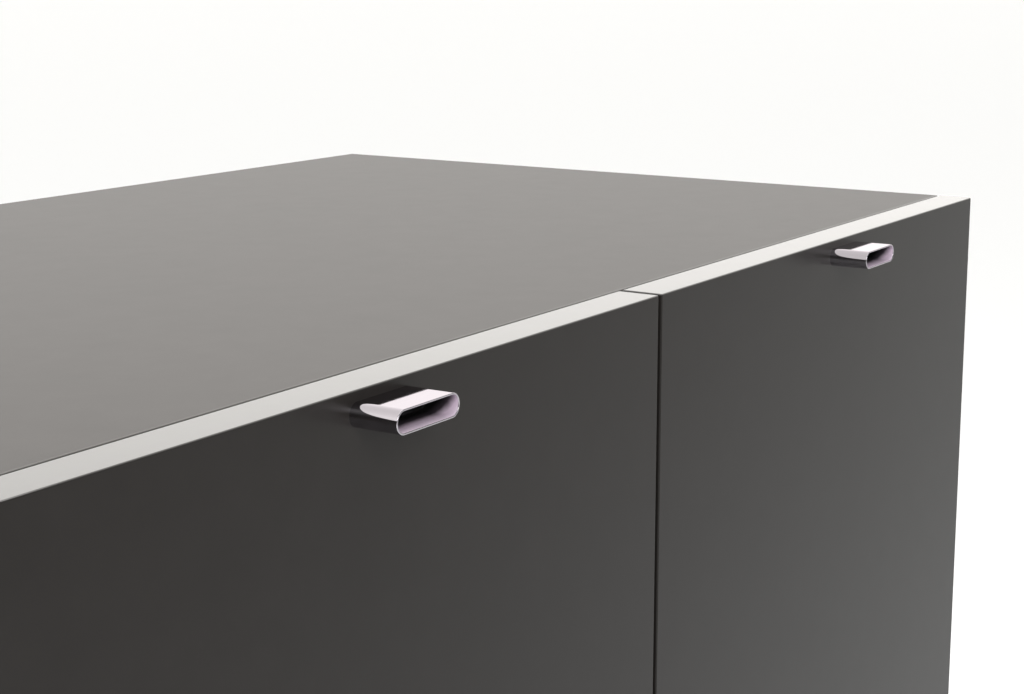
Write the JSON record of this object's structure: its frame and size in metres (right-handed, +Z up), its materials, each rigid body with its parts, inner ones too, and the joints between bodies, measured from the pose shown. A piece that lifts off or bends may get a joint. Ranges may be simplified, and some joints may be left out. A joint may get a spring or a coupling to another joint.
{
  "type": "chest of drawers",
  "caption": "Low dresser in dark grey satin lacquer with deep drawers side by side, flush full-overlay fronts, small hollow chrome pill-shaped tab pulls and a recessed plinth.",
  "frame": {"origin": "on the floor, under the middle of the dresser's overall box, pull tabs included", "axes": "+Z up, +X to the viewer's right along the row of fronts, -Y out of the drawer fronts"},
  "size_m": [0.87, 0.542, 0.785],
  "materials": {
    "lacquer": "dark grey satin lacquer on fibreboard",
    "chrome": "polished chrome plate on die-cast zinc",
    "box_board": "clear-lacquered birch plywood",
    "box_floor": "birch-faced drawer bottom",
    "back_board": "grey-faced hardboard",
    "runner_steel": "bright zinc-plated steel",
    "zinc": "zinc plate",
    "beech": "plain fluted beech",
    "foot": "black moulded plastic",
    "bumper": "soft clear-grey bumper"
  },
  "bodies": {
    "case": {"top_panel": "lacquer", "left_side_panel": "lacquer", "right_side_panel": "lacquer", "centre_divider": "lacquer", "bottom_panel": "lacquer", "back_panel": "back_board", "plinth_front": "lacquer", "plinth_back": "lacquer", "plinth_left_rail": "lacquer", "plinth_right_rail": "lacquer", "levelling_feet": "foot", "cabinet_runners": "runner_steel", "cam_locks": "zinc", "cam_bolts": "zinc", "dowels": "beech", "divider_screws": "zinc", "back_panel_screws": "zinc", "drawer_bumpers": "bumper"},
    "upper_left_drawer": {"upper_left_front": "lacquer", "upper_left_handle": "chrome", "upper_left_handle_screws": "zinc", "upper_left_box_left_side": "box_board", "upper_left_box_right_side": "box_board", "upper_left_box_back": "box_board", "upper_left_box_bottom": "box_floor", "upper_left_cam_fittings": "zinc", "upper_left_drawer_runners": "runner_steel"},
    "upper_left_runner_middles": {"upper_left_middle_runners": "runner_steel"},
    "upper_right_drawer": {"upper_right_front": "lacquer", "upper_right_handle": "chrome", "upper_right_handle_screws": "zinc", "upper_right_box_left_side": "box_board", "upper_right_box_right_side": "box_board", "upper_right_box_back": "box_board", "upper_right_box_bottom": "box_floor", "upper_right_cam_fittings": "zinc", "upper_right_drawer_runners": "runner_steel"},
    "upper_right_runner_middles": {"upper_right_middle_runners": "runner_steel"},
    "lower_left_drawer": {"lower_left_front": "lacquer", "lower_left_handle": "chrome", "lower_left_handle_screws": "zinc", "lower_left_box_left_side": "box_board", "lower_left_box_right_side": "box_board", "lower_left_box_back": "box_board", "lower_left_box_bottom": "box_floor", "lower_left_cam_fittings": "zinc", "lower_left_drawer_runners": "runner_steel"},
    "lower_left_runner_middles": {"lower_left_middle_runners": "runner_steel"},
    "lower_right_drawer": {"lower_right_front": "lacquer", "lower_right_handle": "chrome", "lower_right_handle_screws": "zinc", "lower_right_box_left_side": "box_board", "lower_right_box_right_side": "box_board", "lower_right_box_back": "box_board", "lower_right_box_bottom": "box_floor", "lower_right_cam_fittings": "zinc", "lower_right_drawer_runners": "runner_steel"},
    "lower_right_runner_middles": {"lower_right_middle_runners": "runner_steel"}
  },
  "joints": [
    {"name": "upper_left_drawer_slide", "type": "slide", "parent": "case", "child": "upper_left_drawer", "axis": [0, -1, 0], "range_m": [0, 0.44]},
    {"name": "upper_left_runner_slide", "type": "slide", "parent": "case", "child": "upper_left_runner_middles", "axis": [0, -1, 0], "range_m": [0, 0.22]},
    {"name": "upper_right_drawer_slide", "type": "slide", "parent": "case", "child": "upper_right_drawer", "axis": [0, -1, 0], "range_m": [0, 0.44]},
    {"name": "upper_right_runner_slide", "type": "slide", "parent": "case", "child": "upper_right_runner_middles", "axis": [0, -1, 0], "range_m": [0, 0.22]},
    {"name": "lower_left_drawer_slide", "type": "slide", "parent": "case", "child": "lower_left_drawer", "axis": [0, -1, 0], "range_m": [0, 0.44]},
    {"name": "lower_left_runner_slide", "type": "slide", "parent": "case", "child": "lower_left_runner_middles", "axis": [0, -1, 0], "range_m": [0, 0.22]},
    {"name": "lower_right_drawer_slide", "type": "slide", "parent": "case", "child": "lower_right_drawer", "axis": [0, -1, 0], "range_m": [0, 0.44]},
    {"name": "lower_right_runner_slide", "type": "slide", "parent": "case", "child": "lower_right_runner_middles", "axis": [0, -1, 0], "range_m": [0, 0.22]}
  ],
  "couplings": [
    {"joint": "upper_left_runner_slide", "follows": "upper_left_drawer_slide", "ratio": 0.5},
    {"joint": "upper_right_runner_slide", "follows": "upper_right_drawer_slide", "ratio": 0.5},
    {"joint": "lower_left_runner_slide", "follows": "lower_left_drawer_slide", "ratio": 0.5},
    {"joint": "lower_right_runner_slide", "follows": "lower_right_drawer_slide", "ratio": 0.5}
  ]
}
